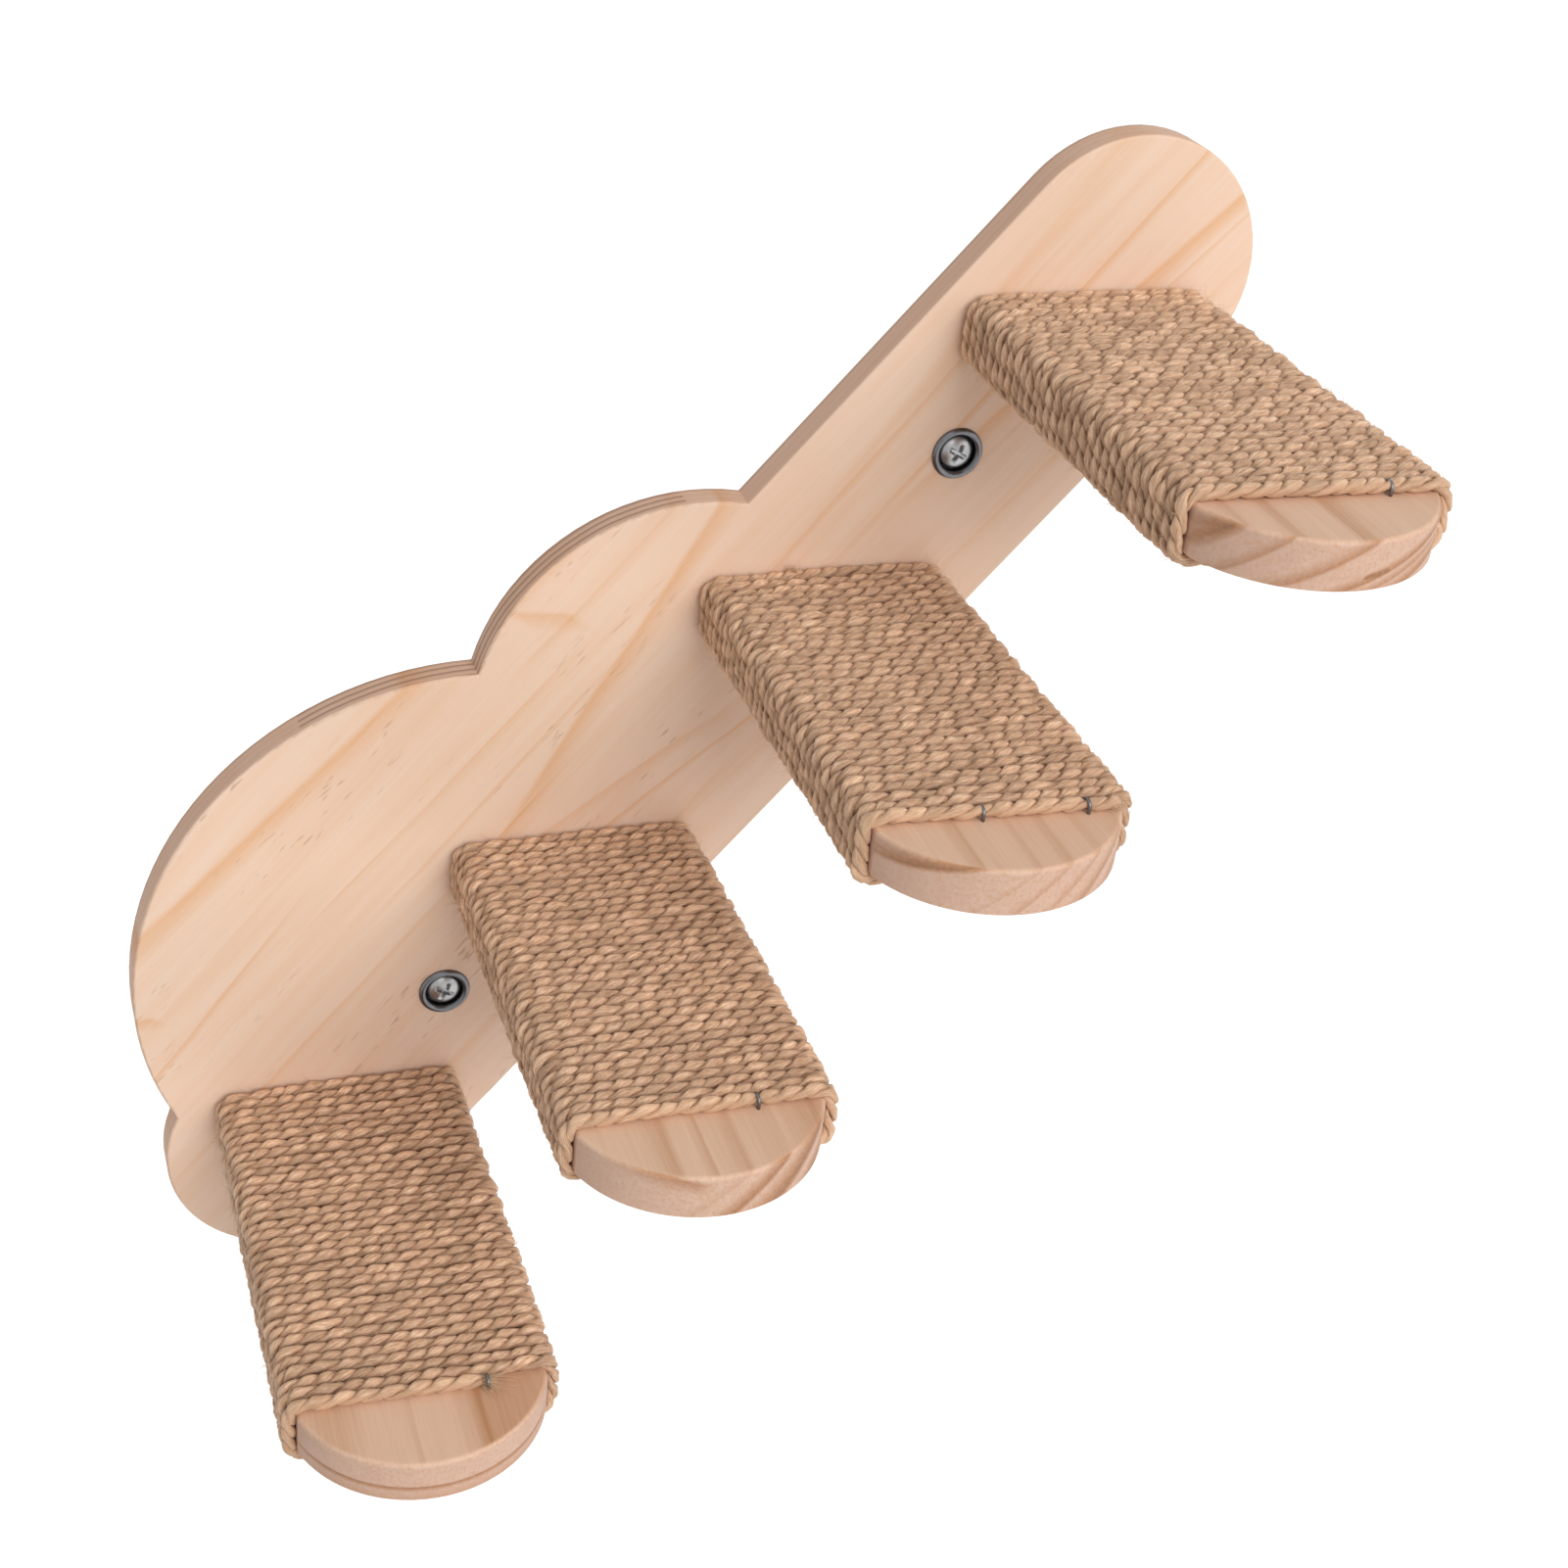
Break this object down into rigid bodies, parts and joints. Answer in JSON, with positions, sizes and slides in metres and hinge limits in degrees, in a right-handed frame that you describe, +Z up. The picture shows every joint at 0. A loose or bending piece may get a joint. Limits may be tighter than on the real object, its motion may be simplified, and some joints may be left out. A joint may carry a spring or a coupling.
{
  "type": "cat wall stair",
  "caption": "Wall-mounted cat stair: a sloping cloud-edged pine board carries round-nosed, rope-wound wooden steps; screws in cup washers hold it to the wall.",
  "frame": {"origin": "on the board's back face, which lies on the wall, midway between the two wall screws", "axes": "+X to the right along the wall, +Y into the wall, +Z up; the steps reach out to -Y"},
  "size_m": [0.4121, 0.2506, 0.4512],
  "materials": {
    "board_pine": "satin",
    "step_pine": "satin",
    "jute_rope": "matte",
    "staple_steel": "satin",
    "screw_steel": "bright",
    "washer_steel": "satin"
  },
  "bodies": {
    "root": {"back_board": "board_pine", "step_board_1": "step_pine", "step_rope_1": "jute_rope", "rope_staples_1": "staple_steel", "step_screws_1": "screw_steel", "step_board_2": "step_pine", "step_rope_2": "jute_rope", "rope_staples_2": "staple_steel", "step_screws_2": "screw_steel", "step_board_3": "step_pine", "step_rope_3": "jute_rope", "rope_staples_3": "staple_steel", "step_screws_3": "screw_steel", "step_board_4": "step_pine", "step_rope_4": "jute_rope", "rope_staples_4": "staple_steel", "step_screws_4": "screw_steel", "wall_screw_lower": "screw_steel", "cup_washer_lower": "washer_steel", "wall_screw_upper": "screw_steel", "cup_washer_upper": "washer_steel"}
  },
  "joints": []
}
